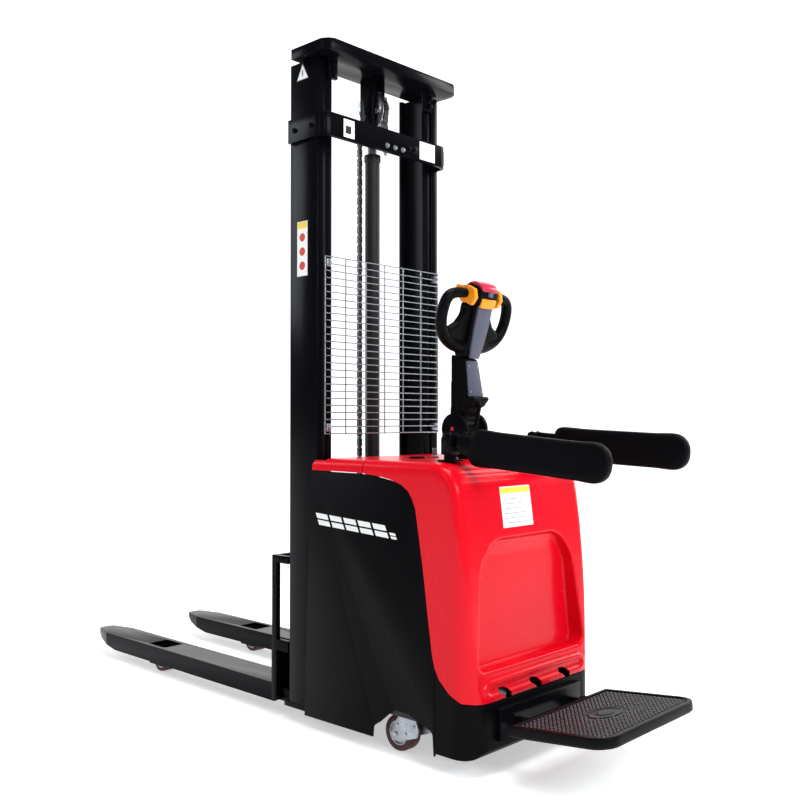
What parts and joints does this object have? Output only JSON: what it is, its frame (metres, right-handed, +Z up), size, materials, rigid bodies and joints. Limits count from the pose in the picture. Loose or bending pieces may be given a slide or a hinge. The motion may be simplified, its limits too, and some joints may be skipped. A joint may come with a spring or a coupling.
{
  "type": "electric pallet truck",
  "caption": "Ride-on electric stacker truck: two-stage mast, forks over support legs, red cover, tiller, side guard arms and folding driver platform.",
  "frame": {"origin": "on the ground at the centre of the outline", "axes": "+Z up, +Y toward the fork tips, -Y toward the driver platform, X across the truck (+X is the driver's right when facing the forks)"},
  "size_m": [0.609, 2.3371, 2.08],
  "materials": {
    "black_paint": "satin black paint",
    "frame_paint": "matt black frame paint",
    "black_plastic": "fine-grained black plastic",
    "red_plastic": "glossy red cover",
    "grey_plastic": "grey cover plate",
    "orange_plastic": "orange control",
    "pink_plastic": "red safety button",
    "zinc": "zinc-plated steel",
    "bright_steel": "bright steel",
    "padding": "firm black foam with a skin",
    "tread": "polyurethane tread",
    "motor": "dark grey motor paint",
    "battery_case": "battery case",
    "hose": "hydraulic hose",
    "label": "plain printed film"
  },
  "bodies": {
    "chassis": {"chassis_frame": "frame_paint", "leg_frame": "black_paint", "mast_channel_left": "black_paint", "mast_channel_right": "black_paint", "crossbar": "black_paint", "chain_anchor": "zinc", "cylinder_barrel": "frame_paint", "mesh_guard": "zinc", "side_panel_left": "black_plastic", "side_panel_right": "black_plastic", "rear_skirt": "black_plastic", "hood": "red_plastic", "battery_lid": "red_plastic", "battery": "battery_case", "power_pack": "motor", "hydraulic_hose": "hose", "controller": "motor", "meter": "black_plastic", "key_lock": "bright_steel", "arm_posts": "black_paint", "platform_bracket": "black_paint", "labels": "label", "chain_front": "zinc"},
    "inner_mast": {"inner_channel_left": "black_paint", "inner_channel_right": "black_paint", "inner_tie": "black_paint", "top_plate": "black_paint", "wheel_bracket": "black_paint", "lift_rod": "bright_steel", "chain_rear": "zinc", "chain_wrap": "zinc"},
    "chain_wheel": {"chain_wheel": "bright_steel"},
    "carriage": {"carriage_frame": "black_paint", "backrest": "black_paint", "fork_left": "black_paint", "fork_right": "black_paint"},
    "mast_rollers": {"mast_rollers": "zinc"},
    "carriage_rollers_lower": {"carriage_rollers_lower": "zinc"},
    "carriage_rollers_upper": {"carriage_rollers_upper": "zinc"},
    "drive_unit": {"drive_yoke": "frame_paint", "drive_motor": "motor", "tiller_base": "black_plastic"},
    "drive_wheel": {"drive_wheel": "tread"},
    "tiller": {"tiller_column": "black_plastic", "column_cover": "grey_plastic", "tiller_head": "black_plastic", "handle_loops": "black_plastic"},
    "throttle": {"throttle": "orange_plastic"},
    "belly_button": {"belly_button": "pink_plastic"},
    "lift_rocker": {"lift_rocker": "grey_plastic"},
    "caster_left": {"caster_fork_left": "bright_steel"},
    "caster_right": {"caster_fork_right": "bright_steel"},
    "caster_wheel_left": {"caster_wheel_left": "tread"},
    "caster_wheel_right": {"caster_wheel_right": "tread"},
    "load_wheel_left": {"load_wheel_left": "tread"},
    "load_wheel_right": {"load_wheel_right": "tread"},
    "platform": {"platform": "black_paint"},
    "arm_left": {"arm_left": "padding"},
    "arm_right": {"arm_right": "padding"},
    "key": {"key": "bright_steel"}
  },
  "joints": [
    {"name": "mast_lift", "type": "slide", "parent": "chassis", "child": "inner_mast", "axis": [0, 0, 1], "range_m": [0, 1.46], "deforming": ["chain_front"]},
    {"name": "carriage_lift", "type": "slide", "parent": "inner_mast", "child": "carriage", "axis": [0, 0, 1], "range_m": [0, 1.46], "deforming": ["chain_rear"]},
    {"name": "chain_wheel_spin", "type": "hinge", "parent": "inner_mast", "child": "chain_wheel", "pos_m": [0, -0.145, 1.94], "axis": [1, 0, 0], "continuous": true},
    {"name": "mast_rollers_spin", "type": "hinge", "parent": "inner_mast", "child": "mast_rollers", "pos_m": [0, -0.122, 0.15], "axis": [1, 0, 0], "continuous": true},
    {"name": "carriage_rollers_lower_spin", "type": "hinge", "parent": "carriage", "child": "carriage_rollers_lower", "pos_m": [0, -0.122, 0.15], "axis": [1, 0, 0], "continuous": true},
    {"name": "carriage_rollers_upper_spin", "type": "hinge", "parent": "carriage", "child": "carriage_rollers_upper", "pos_m": [0, -0.122, 0.44], "axis": [1, 0, 0], "continuous": true},
    {"name": "steer", "type": "hinge", "parent": "chassis", "child": "drive_unit", "pos_m": [0, -0.537, 0.25], "axis": [0, 0, 1], "range_deg": [-90, 90]},
    {"name": "drive_wheel_spin", "type": "hinge", "parent": "drive_unit", "child": "drive_wheel", "pos_m": [0, -0.537, 0.105], "axis": [1, 0, 0], "continuous": true},
    {"name": "tiller_tilt", "type": "hinge", "parent": "drive_unit", "child": "tiller", "pos_m": [0, -0.537, 0.905], "axis": [1, 0, 0], "range_deg": [0, 75], "stiffness_Nm_per_rad": 18, "springref_deg": -28.65},
    {"name": "throttle_turn", "type": "hinge", "parent": "tiller", "child": "throttle", "pos_m": [0, -0.5931, 1.29968], "axis": [1, 0, 0], "range_deg": [-25, 25], "stiffness_Nm_per_rad": 0.6},
    {"name": "belly_press", "type": "slide", "parent": "tiller", "child": "belly_button", "axis": [0, 0.2756, -0.9613], "range_m": [0, 0.005], "stiffness_N_per_m": 400},
    {"name": "rocker_press", "type": "hinge", "parent": "tiller", "child": "lift_rocker", "pos_m": [0, -0.6321, 1.29786], "axis": [1, 0, 0], "range_deg": [-8, 8], "stiffness_Nm_per_rad": 0.1},
    {"name": "caster_swivel_left", "type": "hinge", "parent": "chassis", "child": "caster_left", "pos_m": [-0.229, -0.545, 0.11], "axis": [0, 0, 1], "continuous": true},
    {"name": "caster_swivel_right", "type": "hinge", "parent": "chassis", "child": "caster_right", "pos_m": [0.229, -0.545, 0.11], "axis": [0, 0, 1], "continuous": true},
    {"name": "caster_spin_left", "type": "hinge", "parent": "caster_left", "child": "caster_wheel_left", "pos_m": [-0.229, -0.499, 0.051], "axis": [1, 0, 0], "continuous": true},
    {"name": "caster_spin_right", "type": "hinge", "parent": "caster_right", "child": "caster_wheel_right", "pos_m": [0.229, -0.499, 0.051], "axis": [1, 0, 0], "continuous": true},
    {"name": "load_spin_left", "type": "hinge", "parent": "chassis", "child": "load_wheel_left", "pos_m": [-0.21, 0.725, 0.04], "axis": [1, 0, 0], "continuous": true},
    {"name": "load_spin_right", "type": "hinge", "parent": "chassis", "child": "load_wheel_right", "pos_m": [0.21, 0.725, 0.04], "axis": [1, 0, 0], "continuous": true},
    {"name": "platform_fold", "type": "hinge", "parent": "chassis", "child": "platform", "pos_m": [0, -0.853, 0.128], "axis": [-1, 0, 0], "range_deg": [0, 83]},
    {"name": "arm_fold_left", "type": "hinge", "parent": "chassis", "child": "arm_left", "pos_m": [-0.2, -0.65, 0.878], "axis": [-1, 0, 0], "range_deg": [0, 90]},
    {"name": "arm_fold_right", "type": "hinge", "parent": "chassis", "child": "arm_right", "pos_m": [0.2, -0.65, 0.878], "axis": [-1, 0, 0], "range_deg": [0, 90]},
    {"name": "key_turn", "type": "hinge", "parent": "chassis", "child": "key", "pos_m": [-0.008, -0.425, 0.81], "axis": [0, 0, 1], "range_deg": [0, 90]}
  ],
  "couplings": [
    {"joint": "carriage_lift", "follows": "mast_lift", "ratio": 1},
    {"joint": "chain_wheel_spin", "follows": "mast_lift", "rad_per_m": 16.667},
    {"joint": "mast_rollers_spin", "follows": "mast_lift", "rad_per_m": 19.763},
    {"joint": "carriage_rollers_lower_spin", "follows": "mast_lift", "rad_per_m": 21.459},
    {"joint": "carriage_rollers_upper_spin", "follows": "mast_lift", "rad_per_m": -21.459}
  ]
}
